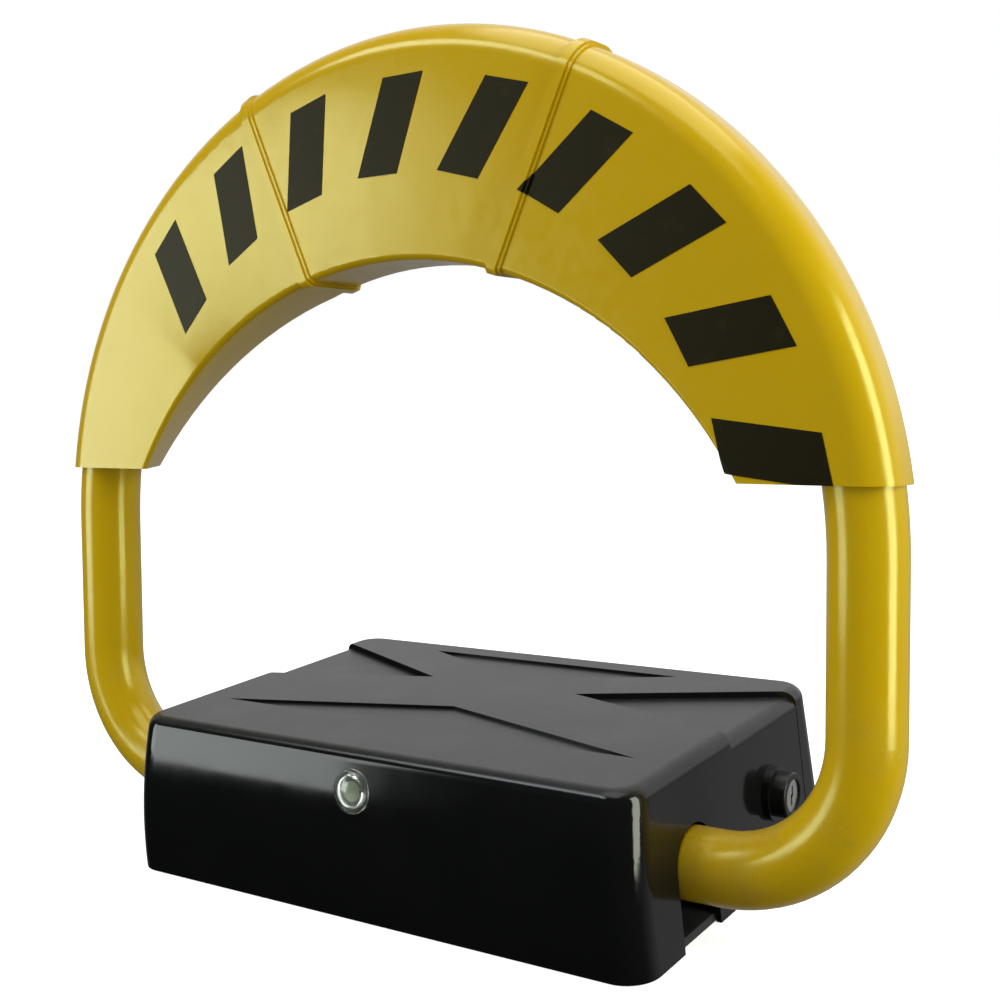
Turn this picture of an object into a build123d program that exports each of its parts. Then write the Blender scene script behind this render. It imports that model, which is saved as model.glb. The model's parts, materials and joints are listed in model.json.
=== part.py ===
from build123d import *
import math
import os

# Folding parking lock: a steel base with a black cover, and a yellow tube hoop that folds to the rear.
# X runs along the hinge, with the key lock at +X. Y points to the rear, away from the lamp. Z is up.
# The origin is on the ground, under the centre of the base. The hoop is drawn raised.
# All sizes are in millimetres and all angles in degrees.

# ---------------------------------------------------------------- base and cover
base_width = 348.0
base_depth = 238.0
base_height = 93.0
side_draft = 6.0             # how far each side wall leans in over the cover's height
rear_lean = 10.0             # how far the rear wall leans in over the cover's height
front_radius = 264.0         # the front wall is an arc that is upright at front_bulge_height
front_bulge_height = 25.0
cover_wall = 3.0
corner_radius = 18.0
lid_edge_radius = 8.0
skirt_gap = 0.6              # between the cover's lower edge and the ground
plate_thickness = 5.0
plate_clearance = 1.5        # between the base plate's edge and the cover's wall

# relief of the lid: a raised cross between four lowered triangles, placed from the base's edges
relief_depth = 1.8           # front and rear triangles
side_relief_depth = 3.5      # left and right triangles, which run out over the side edges
relief_tip_x = base_width / 2 - 31.0
relief_front_y = -base_depth / 2 + 59.0
relief_front_apex_y = relief_front_y + 41.0
relief_rear_tip_x = base_width / 2 - 83.0
relief_rear_y = base_depth / 2 - 31.0
relief_rear_apex_y = relief_rear_y - 42.0
relief_side_apex_x = base_width / 2 - 122.0
relief_side_apex_y = base_depth / 2 - 88.0
relief_side_front_y = base_depth / 2 - 122.0
relief_side_rear_y = base_depth / 2 - 34.0

# rear cover screws
cover_screw_x = base_width / 2 - 44.0
cover_screw_z = 22.0
cover_screw_sink = 3.2       # how far the screws' seats lie inside the base's rear edge
cover_screw_radius = 2.5
cover_screw_head_radius = 4.5
bracket_thickness = 2.5
bracket_half_width = 9.0
bracket_foot_length = 18.0

# anchor holes
anchor_spacing_x = base_width - 2 * 26.0
anchor_spacing_y = base_depth - 2 * 24.0
anchor_hole_radius = 6.0

# ---------------------------------------------------------------- hoop
pivot_y = -base_depth / 2 + 66.0
pivot_z = 40.0
lean = 5.0                   # how far the raised hoop leans to the rear
tube_radius = 19.0
tube_wall = 2.5
leg_spacing = 518.0          # between the centre lines of the two legs
bend_radius = 73.0           # centre line of the lower bends
arch_centre_height = 156.5   # centre of the upper arch, above the pivot, along the hoop
slot_clearance = 1.5         # between the bar and the cover's side slots
joint_angle = 15.0           # where the arch tube meets the lower tube, above the arch's centre
sleeve_half_angle = 5.0
sleeve_wall = 3.0
sleeve_clearance = 0.05

# head: a hollow crescent around the arch tube
head_wall = 1.6
head_gap = 0.4               # between the arch tube and the head's outer rim
leg_hole_gap = 0.25          # around the legs where they leave the head
head_face_gap = 1.4          # between the arch tube and the inside of the head's faces
head_half_depth = tube_radius + head_face_gap + head_wall
head_end_height = arch_centre_height + 36.5      # lower ends of the head, above the pivot
head_inner_radius = leg_spacing / 2 - 33.0
head_inner_centre = arch_centre_height - 72.5    # centre of the inner arc, above the pivot
head_outer_edge = 17.0       # rounding of the outer rim
head_inner_edge = 4.0
bead_angle = 24.0            # radial beads, to each side of the head's middle
bead_width = 9.0
bead_height = 2.2
spacer_radius = 5.0
spacer_angles = (-62.0, -37.0, -12.0, 12.0, 37.0, 62.0)
spacer_orbit = leg_spacing / 2 - tube_radius - 26.0      # from the arch's centre
head_screw_radius = 2.0
head_screw_head_radius = 4.0
head_screw_head_height = 2.2
mark_count = 9
mark_first_angle = -47.0     # from the head's middle, to the right
mark_step = 15.5
mark_height = 52.0           # along the head's radius
mark_rim_inset = 26.0        # from the arch tube's outer side
mark_width = 27.0
mark_slant = 20.0
mark_thickness = 0.3

# ---------------------------------------------------------------- bearings
bearing_x = base_width / 2 - 54.0
bearing_width = 24.0
bush_wall = 3.0
bearing_crown = tube_radius + bush_wall + 9.0    # outer radius of the caps
bearing_ear_height = 8.0
bush_running_gap = 0.05
bush_overhang = 1.0
bearing_screw_y = tube_radius + bush_wall + 5.0  # either side of the pivot
bearing_depth = 2 * (bearing_screw_y + 7.0)
bearing_screw_radius = 3.0
bearing_screw_head_radius = 5.0
bearing_screw_head_height = 6.0
bearing_screw_depth = 20.0
screw_clearance = 0.2

# ---------------------------------------------------------------- drive
gear_module = 2.0
pressure_angle = 25.0
addendum = 0.8
backlash = 0.35
gear_teeth = 32
pinion_teeth = 12
gear_x = 56.0
gear_width = 12.0
gear_bore_gap = 0.02
hub_wall = 6.0
hub_length = 14.0
shaft_radius = 4.0
shaft_running_gap = 0.05
motor_bracket_x = gear_x - 6.0
motor_bracket_thickness = 3.0
motor_bracket_width = 46.0
gearhead_radius = 21.0
gearhead_length = 28.0
motor_radius = 18.0
motor_length = 60.0
motor_cap_length = 5.0
gearhead_screw_shift = 13.0  # either side of the shaft
gearhead_screw_radius = 1.6
key_pin_radius = 3.0

# ---------------------------------------------------------------- stops and switches
fold_angle = 90.0 - lean     # the folded hoop lies level
stop_x = -60.0
stop_width = 14.0
stop_collar_radius = tube_radius + 7.0
stop_lug_radius = stop_collar_radius + 12.0
stop_lug_half = 6.0
stop_pad_thickness = 4.0
stop_gap = 0.3
stop_pad_inner = stop_collar_radius + 1.5
stop_post_outset = stop_lug_radius + 1.0
stop_post_gap = 2.0          # between a stop post and the collar
switch_plate_x = -92.0
switch_plate_thickness = 2.0
cam_x = -89.5
cam_width = 5.0
cam_radius = tube_radius + 5.0
cam_lobe_radius = cam_radius + 5.0
cam_lobe_half_angle = 6.0
lever_gap = 0.4
lever_thickness = 0.8
lever_length = 18.0
lever_width = 4.0
lever_room = 2.4             # between a lever and its switch
lever_eye_radius = 1.2
lever_pin_radius = 0.45
switch_length = 20.0
switch_height = 10.0
switch_width = 6.4

# ---------------------------------------------------------------- electrics
battery_length = 90.0
battery_width = 66.0
battery_height = 68.0
battery_x = (-base_width / 2 + 22.0, -base_width / 2 + 22.0 + battery_length)
battery_y = (base_depth / 2 - 35.0 - battery_width, base_depth / 2 - 35.0)
strap_width = 18.0
strap_x = (battery_x[0] + 36.0, battery_x[0] + 36.0 + strap_width)
strap_gap = 0.3
strap_foot = 12.0
strap_thickness = 1.5
box_length = 106.0
box_width = 56.0
box_height = 42.0
box_x = (base_width / 2 - 56.0 - box_length, base_width / 2 - 56.0)
box_y = (base_depth / 2 - 27.0 - box_width, base_depth / 2 - 27.0)
box_wall = 2.0
box_lid = 3.0
board_lift = 8.0
board_thickness = 1.6
wire_radius = 1.6
wire_entry_y = base_depth / 2 - 59.0

# ---------------------------------------------------------------- lamp
lamp_z = base_height - 21.0
lamp_radius = 12.0
lamp_seat_depth = 0.8
lamp_barrel_radius = 9.5
lamp_barrel_length = 14.0
lamp_dome_height = 4.0
lamp_wall = 1.4
lamp_clearance = 0.2
lamp_flange_thickness = 1.6

# ---------------------------------------------------------------- key lock
lock_y = base_depth / 2 - 76.0
lock_z = 46.0
lock_boss_radius = 15.5
lock_boss_face = base_width / 2 + 1.0    # the boss's flat face, from the middle of the base
lock_boss_back = base_width / 2 - 7.0
lock_bezel_radius = 12.8
lock_bezel_length = 8.5
lock_thread_radius = 9.5
lock_body_end = base_width / 2 - 24.0
lock_plug_radius = 9.2
lock_plug_depth = 3.0
lock_plug_recess = 1.0
lock_core_radius = 6.0
lock_running_gap = 0.05
lock_nut_thickness = 5.0
lock_cam_thickness = 3.0
lock_cam_length = 26.0
lock_cam_half_width = 6.0
key_slot_width = 1.8
key_slot_step = 1.6
key_slot_length = 11.0
key_slot_depth = 5.0
keeper_gap = 1.0             # between the lock's cam and the keeper's lip
keeper_thickness = 3.0
keeper_lip = 12.0
keeper_foot = 16.0


# ---------------------------------------------------------------- small helpers
def block(x, y, z):
    """A box between two values on each axis."""
    size = [high - low for low, high in (x, y, z)]
    middle = [(low + high) / 2 for low, high in (x, y, z)]
    return Pos(*middle) * Box(*size)


def rod_x(radius, x, y, z):
    """A cylinder along X, between the two values of x."""
    return Pos((x[0] + x[1]) / 2, y, z) * Rot(0, 90, 0) * Cylinder(radius, x[1] - x[0])


def ring_x(outer, inner, x, y, z):
    """A tube along X."""
    return rod_x(outer, x, y, z) - rod_x(inner, (x[0] - 1, x[1] + 1), y, z)


def prism_x(points, x):
    """A polygon of (y, z) points, drawn out along X."""
    face = Plane.YZ * make_face(Polyline(*points, close=True))
    return Pos(x[0], 0, 0) * extrude(face, x[1] - x[0])


def hoop_place():
    """From the hoop's own frame, pivot at its origin and arch straight up, to the raised position."""
    return Pos(0, pivot_y, pivot_z) * Rot(-lean, 0, 0)


def polar(radius, angle):
    """A point in the hoop's plane: (x, z), the angle taken from straight up towards +X."""
    return radius * math.sin(math.radians(angle)), radius * math.cos(math.radians(angle))


def front_wall_y(z):
    """Where the outside of the front wall is at height z."""
    rise = z - front_bulge_height
    return -base_depth / 2 + front_radius - math.sqrt(front_radius ** 2 - rise ** 2)


# ---------------------------------------------------------------- base plate and cover
def cover_form(inset, drop):
    """The cover's outer form, moved in by inset at the walls and down by drop at the lid."""
    top = base_height - drop
    bottom = skirt_gap - inset
    front = -base_depth / 2 + inset
    rear = base_depth / 2 - inset
    radius = front_radius - inset

    def front_y(z):
        return front + radius - math.sqrt(radius ** 2 - (z - front_bulge_height) ** 2)

    rear_top = rear - rear_lean * top / base_height
    middle = front_bulge_height
    arc = ThreePointArc((front_y(bottom), bottom), (front, middle), (front_y(top), top))
    lines = Polyline((front_y(top), top), (rear_top, top), (rear, bottom), (front_y(bottom), bottom))
    profile = Plane.YZ * make_face(arc + lines)
    side = extrude(profile, base_width / 2, both=True)
    half_low = base_width / 2 - inset
    half_top = half_low - side_draft * top / base_height
    outline = Polyline((-half_low, bottom), (half_low, bottom), (half_top, top), (-half_top, top), close=True)
    plan = extrude(Plane.XZ * make_face(outline), base_depth / 2, both=True)
    form = side & plan
    uprights = form.edges().filter_by(lambda e: abs(e.bounding_box().size.Z) > base_height / 2)
    form = fillet(uprights, corner_radius - inset)
    rim = form.faces().sort_by(Axis.Z)[-1].edges()
    return fillet(rim, max(lid_edge_radius - inset, 2.0))


def lowered_lid(form, corners, depth):
    """Lower the lid by depth inside a polygon of (x, y) corners, rounding off at the side edges."""
    column = extrude(make_face(Polyline(*corners, close=True)), 2 * base_height)
    return (form - column) + (column & (Pos(0, 0, -depth) * form))


def relief_triangles():
    """Each lowered triangle of the lid, as (corners, depth)."""
    reach = base_width / 2 + 10
    front = ((-relief_tip_x, relief_front_y), (relief_tip_x, relief_front_y), (0, relief_front_apex_y))
    rear = ((-relief_rear_tip_x, relief_rear_y), (0, relief_rear_apex_y), (relief_rear_tip_x, relief_rear_y))
    triangles = [(front, relief_depth), (rear, relief_depth)]
    lid_half = base_width / 2 - side_draft
    spread = (reach - relief_side_apex_x) / (lid_half - relief_side_apex_x)
    for side in (-1, 1):
        far_front = relief_side_apex_y + (relief_side_front_y - relief_side_apex_y) * spread
        far_rear = relief_side_apex_y + (relief_side_rear_y - relief_side_apex_y) * spread
        corners = ((side * relief_side_apex_x, relief_side_apex_y),
                   (side * reach, far_front), (side * reach, far_rear))
        triangles.append((corners, side_relief_depth))
    return triangles


def lamp_place():
    """The lamp's own frame: its axis is local Z, pointing out of the front wall."""
    tilt = math.degrees(math.asin((lamp_z - front_bulge_height) / front_radius))
    return Pos(0, front_wall_y(lamp_z), lamp_z) * Rot(90 - tilt, 0, 0)


def cover_screw_seat():
    """Distance of the rear cover screws' heads from the middle of the base."""
    return base_depth / 2 - cover_screw_sink


def top_cover():
    outer = cover_form(0, 0)
    for corners, depth in relief_triangles():
        outer = lowered_lid(outer, corners, depth)
    shell = outer - cover_form(cover_wall, side_relief_depth + cover_wall)
    shell -= block((-base_width, base_width), (-base_depth, base_depth), (-20, skirt_gap))
    slot = tube_radius + slot_clearance
    shell -= rod_x(slot, (-base_width, base_width), pivot_y, pivot_z)
    shell -= block((-base_width, base_width), (pivot_y - slot, pivot_y + slot), (-20, pivot_z))
    shell += rod_x(lock_boss_radius, (lock_boss_back, lock_boss_face), lock_y, lock_z)
    bore = lock_thread_radius + screw_clearance
    shell -= rod_x(bore, (lock_body_end, lock_boss_face + 1), lock_y, lock_z)
    seat = Pos(0, 0, 5 - lamp_seat_depth) * Cylinder(lamp_radius + lamp_clearance, 10)
    hole = Cylinder(lamp_barrel_radius + lamp_clearance, 4 * lamp_barrel_radius)
    shell -= lamp_place() * (seat + hole)
    for x in (-cover_screw_x, cover_screw_x):
        y = cover_screw_seat()
        seat = Cylinder(cover_screw_head_radius + 0.7, 20)
        shell -= Pos(x, y + 10, cover_screw_z) * Rot(90, 0, 0) * seat
        hole = Cylinder(cover_screw_radius + screw_clearance, 40)
        shell -= Pos(x, y, cover_screw_z) * Rot(90, 0, 0) * hole
    return shell


def base_plate():
    inset = cover_wall + plate_clearance
    outline = RectangleRounded(base_width - 2 * inset, base_depth - 2 * inset, corner_radius)
    plate = extrude(outline, plate_thickness)
    for x in (-anchor_spacing_x / 2, anchor_spacing_x / 2):
        for y in (-anchor_spacing_y / 2, anchor_spacing_y / 2):
            plate -= Pos(x, y, 0) * Cylinder(anchor_hole_radius, 4 * plate_thickness)
    return plate


def cover_brackets():
    """Two angle tabs on the base plate that take the rear cover screws."""
    tabs = []
    face = cover_screw_seat() - cover_wall - 1.2
    for side in (-1, 1):
        x = side * cover_screw_x
        across = (x - bracket_half_width, x + bracket_half_width)
        high = (plate_thickness, cover_screw_z + bracket_half_width)
        upright = block(across, (face - bracket_thickness, face), high)
        foot = block(across, (face - bracket_foot_length, face),
                     (plate_thickness, plate_thickness + bracket_thickness))
        tab = upright + foot
        tab -= Pos(x, face, cover_screw_z) * Rot(90, 0, 0) * Cylinder(cover_screw_radius, 20)
        tabs.append(tab)
    return Compound(children=tabs)


def cover_screws():
    screws = []
    seat = cover_screw_seat()
    for side in (-1, 1):
        place = Pos(side * cover_screw_x, seat, cover_screw_z) * Rot(-90, 0, 0)
        head = Pos(0, 0, 1.3) * Cylinder(cover_screw_head_radius, 2.6)
        head = fillet(head.edges().sort_by(Axis.Z)[-1], 1.0)
        shank = Pos(0, 0, -5) * Cylinder(cover_screw_radius - 0.05, 10)
        socket = Pos(0, 0, 2.0) * extrude(RegularPolygon(1.6, 6), 2)
        screws.append(place * (head + shank - socket))
    return Compound(children=screws)


# ---------------------------------------------------------------- hoop tubes
def swept_tube(path, outer, inner):
    """A round tube along a path that starts in the hoop's XZ plane."""
    start = Plane(origin=path @ 0, z_dir=path % 0)
    wall = start * (Circle(outer) - Circle(inner))
    return sweep(wall, path=path)


def arch_point(angle):
    """A point of the arch's centre line, angle taken from straight up towards +X."""
    x, z = polar(leg_spacing / 2, angle)
    return x, 0, arch_centre_height + z


def hoop_lower_tube():
    half = leg_spacing / 2
    meet = 90 - joint_angle
    corner = half - bend_radius
    turn = bend_radius * (1 - math.sqrt(0.5))
    left_arc = ThreePointArc(arch_point(-meet), arch_point(-(meet + 90) / 2), (-half, 0, arch_centre_height))
    left_leg = Line((-half, 0, arch_centre_height), (-half, 0, bend_radius))
    left_bend = ThreePointArc((-half, 0, bend_radius), (-half + turn, 0, turn), (-corner, 0, 0))
    bar = Line((-corner, 0, 0), (corner, 0, 0))
    right_bend = ThreePointArc((corner, 0, 0), (half - turn, 0, turn), (half, 0, bend_radius))
    right_leg = Line((half, 0, bend_radius), (half, 0, arch_centre_height))
    right_arc = ThreePointArc((half, 0, arch_centre_height), arch_point((meet + 90) / 2), arch_point(meet))
    path = Wire([left_arc, left_leg, left_bend, bar, right_bend, right_leg, right_arc])
    tube = swept_tube(path, tube_radius, tube_radius - tube_wall)
    pin = Cylinder(key_pin_radius, 3 * tube_radius)
    return hoop_place() * (tube - Pos(key_pin_x(), 0, 0) * Rot(90, 0, 0) * pin)


def hoop_arch_tube():
    meet = 90 - joint_angle
    path = ThreePointArc(arch_point(-meet), arch_point(0), arch_point(meet))
    return hoop_place() * swept_tube(Wire([path]), tube_radius, tube_radius - tube_wall)


def hoop_sleeves():
    """A short curved sleeve inside each joint of the two tubes."""
    meet = 90 - joint_angle
    outer = tube_radius - tube_wall - sleeve_clearance
    sleeves = []
    for side in (-1, 1):
        ends = [arch_point(side * (meet + shift * sleeve_half_angle)) for shift in (-1, 0, 1)]
        path = ThreePointArc(*ends)
        sleeves.append(hoop_place() * swept_tube(Wire([path]), outer, outer - sleeve_wall))
    return Compound(children=sleeves)


# ---------------------------------------------------------------- head
def head_outer_radius():
    return leg_spacing / 2 + tube_radius + head_gap + head_wall


def crescent(grow, lift):
    """The head's crescent block, grown on its faces, with its lower ends lifted."""
    outer = head_outer_radius() + grow
    inner = head_inner_radius - grow
    half = head_half_depth + grow
    disc = Pos(0, 0, arch_centre_height) * Rot(90, 0, 0) * Cylinder(outer, 2 * half)
    disc = fillet(disc.edges().filter_by(GeomType.CIRCLE), head_outer_edge + grow)
    hole = Pos(0, 0, head_inner_centre) * Rot(90, 0, 0) * Cylinder(inner, 3 * half)
    reach = 2 * outer
    keep = block((-reach, reach), (-reach, reach), (head_end_height + lift, 3 * outer))
    form = (disc - hole) & keep
    inner_edges = form.edges().filter_by(lambda e: on_inner_arc(e, inner))
    return fillet(inner_edges, head_inner_edge)


def on_inner_arc(edge, radius):
    """Whether an edge is one of the two long arcs of the head's inner side."""
    if edge.geom_type != GeomType.CIRCLE:
        return False
    return abs(edge.radius - radius) < 0.01


def bead_slabs(width):
    """Flat radial slabs across the head, one at each bead."""
    reach = 2 * head_outer_radius()
    slabs = []
    for side in (-1, 1):
        slab = Pos(0, 0, reach / 2) * Box(width, reach, reach)
        slabs.append(Pos(0, 0, arch_centre_height) * Rot(0, side * bead_angle, 0) * slab)
    return slabs


def head_form(grow):
    """The head with its beads: each bead is two steps high, so that its sides slope."""
    form = crescent(grow, 0)
    low = crescent(grow + bead_height / 2, 0)
    high = crescent(grow + bead_height, 0)
    for slab in bead_slabs(bead_width + 2 * grow):
        form += low & slab
    for slab in bead_slabs(bead_width * 0.55 + 2 * grow):
        form += high & slab
    return form


def head_cavity():
    """The hollow of the head, with holes in its lower ends for the legs."""
    hollow = crescent(-head_wall, head_wall)
    for side in (-1, 1):
        path = ThreePointArc(arch_point(side * 70), arch_point(side * 80), arch_point(side * 90))
        start = Plane(origin=path @ 0, z_dir=path % 0)
        hollow += sweep(start * Circle(tube_radius + leg_hole_gap), path=path)
    return hollow


def spacer_centres():
    """Where the head's spacers and screws are, as (x, z) in the hoop's plane."""
    centres = []
    for angle in spacer_angles:
        x, z = polar(spacer_orbit, angle)
        centres.append((x, arch_centre_height + z))
    return centres


def head_shell(front):
    """One half of the head, split at the tube's middle plane."""
    shell = head_form(0) - head_cavity()
    reach = 3 * head_outer_radius()
    depth = (-reach, -0.02) if front else (0.02, reach)
    shell = shell & block((-reach, reach), depth, (-reach, reach))
    if not front:
        for x, z in spacer_centres():
            hole = Pos(x, 0, z) * Rot(90, 0, 0) * Cylinder(head_screw_radius + screw_clearance, reach)
            shell -= hole
    return hoop_place() * shell


def head_front_shell():
    return head_shell(True)


def head_rear_shell():
    return head_shell(False)


def head_spacers():
    """Threaded posts between the two faces of the head."""
    inside = head_half_depth - head_wall
    posts = []
    for x, z in spacer_centres():
        post = Cylinder(spacer_radius, 2 * inside) - Pos(0, 0, -inside) * Cylinder(head_screw_radius, 30)
        posts.append(hoop_place() * Pos(x, 0, z) * Rot(90, 0, 0) * post)
    return Compound(children=posts)


def head_screws():
    screws = []
    for x, z in spacer_centres():
        place = hoop_place() * Pos(x, head_half_depth, z) * Rot(-90, 0, 0)
        head = Pos(0, 0, head_screw_head_height / 2) * Cylinder(head_screw_head_radius, head_screw_head_height)
        head = fillet(head.edges().sort_by(Axis.Z)[-1], 1.2)
        shank = Pos(0, 0, -5) * Cylinder(head_screw_radius - 0.05, 10)
        socket = Pos(0, 0, 1.2) * extrude(RegularPolygon(1.4, 6), 2)
        screws.append(place * (head + shank - socket))
    return Compound(children=screws)


def hazard_marks():
    """Thin slanted bars of film on the head's front face, spaced along its arc."""
    film = head_form(mark_thickness) - head_form(0)
    half_height = mark_height / 2
    middle = leg_spacing / 2 + tube_radius - mark_rim_inset - half_height
    shift = half_height * math.tan(math.radians(mark_slant))
    half = mark_width / 2
    corners = ((-half - shift, -half_height), (half - shift, -half_height),
               (half + shift, half_height), (-half + shift, half_height))
    bar = extrude(Plane.XZ * make_face(Polyline(*corners, close=True)), 2 * head_half_depth)
    marks = []
    for index in range(mark_count):
        angle = mark_first_angle + index * mark_step
        x, z = polar(middle, angle)
        place = Pos(x, 0, arch_centre_height + z) * Rot(0, angle, 0)
        marks.append(hoop_place() * (film & (place * bar)).solid())
    return Compound(children=marks)


# ---------------------------------------------------------------- bearings
def bearing_pedestal(side):
    x = (side * bearing_x - bearing_width / 2, side * bearing_x + bearing_width / 2)
    y = (pivot_y - bearing_depth / 2, pivot_y + bearing_depth / 2)
    body = block(x, y, (plate_thickness, pivot_z))
    body -= rod_x(tube_radius + bush_running_gap + bush_wall, (x[0] - 1, x[1] + 1), pivot_y, pivot_z)
    for shift in (-bearing_screw_y, bearing_screw_y):
        hole = Cylinder(bearing_screw_radius + 0.02, 2 * bearing_screw_depth)
        body -= Pos(side * bearing_x, pivot_y + shift, pivot_z) * hole
    return body


def bearing_cap(side):
    x = (side * bearing_x - bearing_width / 2, side * bearing_x + bearing_width / 2)
    crown = rod_x(bearing_crown, x, pivot_y, pivot_z)
    upper = block(x, (pivot_y - bearing_depth / 2, pivot_y + bearing_depth / 2), (pivot_z, base_height))
    ears = block(x, (pivot_y - bearing_depth / 2, pivot_y + bearing_depth / 2), (pivot_z, pivot_z + bearing_ear_height))
    cap = (crown & upper) + ears
    cap -= rod_x(tube_radius + bush_running_gap + bush_wall, (x[0] - 1, x[1] + 1), pivot_y, pivot_z)
    for shift in (-bearing_screw_y, bearing_screw_y):
        place = Pos(side * bearing_x, pivot_y + shift, pivot_z)
        cap -= place * Cylinder(bearing_screw_radius + screw_clearance, 4 * bearing_ear_height)
        spot_face = Cylinder(bearing_screw_head_radius + 1.0, base_height)
        cap -= place * Pos(0, 0, bearing_ear_height + base_height / 2) * spot_face
    return cap


def bearing_bush(side):
    half = bearing_width / 2 + bush_overhang
    x = (side * bearing_x - half, side * bearing_x + half)
    inner = tube_radius + bush_running_gap
    return ring_x(inner + bush_wall - 0.01, inner, x, pivot_y, pivot_z)


def bearing_screws():
    screws = []
    for side in (-1, 1):
        for shift in (-bearing_screw_y, bearing_screw_y):
            place = Pos(side * bearing_x, pivot_y + shift, pivot_z + bearing_ear_height)
            head = Pos(0, 0, bearing_screw_head_height / 2) * Cylinder(
                bearing_screw_head_radius, bearing_screw_head_height)
            length = bearing_ear_height + bearing_screw_depth - 4
            shank = Pos(0, 0, -length / 2) * Cylinder(bearing_screw_radius, length)
            socket = Pos(0, 0, bearing_screw_head_height / 2) * extrude(RegularPolygon(2.8, 6), 4)
            screws.append(place * (head + shank - socket))
    return Compound(children=screws)


# ---------------------------------------------------------------- drive
def gear_face(teeth):
    """An involute gear outline with stub teeth, one tooth centred on +Y."""
    pitch = gear_module * teeth / 2
    base = pitch * math.cos(math.radians(pressure_angle))
    tip = pitch + addendum * gear_module
    root = pitch - (addendum + 0.25) * gear_module
    start = max(base, root)

    def involute(radius):
        angle = math.acos(min(1.0, base / radius))
        return math.tan(angle) - angle

    half_tooth = math.pi / (2 * teeth) - backlash / (2 * pitch)
    flank = [start + (tip - start) * step / 4 for step in range(5)]
    one_side = [(root, half_tooth + involute(pitch) - involute(start))]
    one_side += [(radius, half_tooth + involute(pitch) - involute(radius)) for radius in flank]
    points = []
    for tooth in range(teeth):
        centre = 2 * math.pi * tooth / teeth
        rising = [(radius, centre - angle) for radius, angle in one_side]
        falling = [(radius, centre + angle) for radius, angle in reversed(one_side)]
        points += [(r * math.cos(a), r * math.sin(a)) for r, a in rising + falling]
    unique = [p for i, p in enumerate(points) if math.dist(p, points[i - 1]) > 1e-4]
    return make_face(Polyline(*unique, close=True))


def centre_distance():
    return gear_module * (gear_teeth + pinion_teeth) / 2


def pinion_y():
    return pivot_y + centre_distance()


def key_pin_x():
    return gear_x + gear_width + hub_length / 2


def output_gear():
    """The gear on the bar, with a hub that the key pin passes through."""
    gear = Pos(gear_x, pivot_y, pivot_z) * extrude(Plane.YZ * gear_face(gear_teeth), gear_width)
    hub = rod_x(tube_radius + hub_wall, (gear_x + gear_width, gear_x + gear_width + hub_length), pivot_y, pivot_z)
    bore = rod_x(tube_radius + gear_bore_gap, (gear_x - 1, gear_x + gear_width + hub_length + 1),
                 pivot_y, pivot_z)
    pin = hoop_place() * Pos(key_pin_x(), 0, 0) * Rot(90, 0, 0) * Cylinder(key_pin_radius, 4 * tube_radius)
    return gear + hub - bore - pin


def gear_key_pin():
    length = 2 * (tube_radius + hub_wall) - 1
    return hoop_place() * Pos(key_pin_x(), 0, 0) * Rot(90, 0, 0) * Cylinder(key_pin_radius - 0.02, length)


def drive_pinion():
    half_pitch = 180 / pinion_teeth
    teeth = Pos(gear_x, pinion_y(), pivot_z) * Rot(half_pitch, 0, 0) * extrude(
        Plane.YZ * gear_face(pinion_teeth), gear_width)
    shaft = rod_x(shaft_radius, (motor_bracket_x - gearhead_length + 6, gear_x + gear_width + 3),
                  pinion_y(), pivot_z)
    return teeth + shaft


def motor_bracket():
    y = (pinion_y() - motor_bracket_width / 2 + 4, pinion_y() + motor_bracket_width / 2)
    x = (motor_bracket_x, motor_bracket_x + motor_bracket_thickness)
    upright = block(x, y, (plate_thickness, pivot_z + 24))
    foot = block((x[1] - 26, x[1]), y, (plate_thickness, plate_thickness + motor_bracket_thickness))
    plate = upright + foot
    plate -= rod_x(shaft_radius + 3, (x[0] - 1, x[1] + 1), pinion_y(), pivot_z)
    for y_shift in (-gearhead_screw_shift, gearhead_screw_shift):
        plate -= rod_x(gearhead_screw_radius + screw_clearance, (x[0] - 1, x[1] + 1), pinion_y() + y_shift, pivot_z)
    return plate


def gearhead():
    x = (motor_bracket_x - gearhead_length, motor_bracket_x)
    case = rod_x(gearhead_radius, x, pinion_y(), pivot_z)
    case += rod_x(shaft_radius + 2.8, (x[1], x[1] + 2), pinion_y(), pivot_z)
    case -= rod_x(shaft_radius + shaft_running_gap, (x[0] + 5, x[1] + 5), pinion_y(), pivot_z)
    for y_shift in (-gearhead_screw_shift, gearhead_screw_shift):
        case -= rod_x(gearhead_screw_radius, (x[1] - 8, x[1] + 1), pinion_y() + y_shift, pivot_z)
    return case


def gearhead_screws():
    screws = []
    face = motor_bracket_x + motor_bracket_thickness
    for y_shift in (-gearhead_screw_shift, gearhead_screw_shift):
        shank = rod_x(gearhead_screw_radius - 0.05, (face - 9, face), pinion_y() + y_shift, pivot_z)
        head = rod_x(3.0, (face, face + 2), pinion_y() + y_shift, pivot_z)
        screws.append(shank + head)
    return Compound(children=screws)


def motor_end():
    return motor_bracket_x - gearhead_length - motor_length


def motor_can():
    front = motor_bracket_x - gearhead_length
    can = rod_x(motor_radius, (motor_end() + motor_cap_length, front), pinion_y(), pivot_z)
    return fillet(can.edges().sort_by(Axis.X)[-1], 2.0)


def motor_end_cap():
    x = (motor_end(), motor_end() + motor_cap_length)
    cap = rod_x(motor_radius - 0.5, x, pinion_y(), pivot_z)
    cap += rod_x(6, (x[0] - 2, x[0]), pinion_y(), pivot_z)
    return cap


def motor_terminals():
    tabs = []
    for shift in (-11, 11):
        y = pinion_y() + shift
        tabs.append(block((motor_end() - 6, motor_end()), (y - 2.4, y + 2.4), (pivot_z - 0.4, pivot_z + 0.4)))
    return Compound(children=tabs)


# ---------------------------------------------------------------- stops
def lug_angle():
    """Direction of the stop lug when the hoop is raised, from the rear horizontal, in the YZ plane."""
    return 90 + fold_angle / 2


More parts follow.
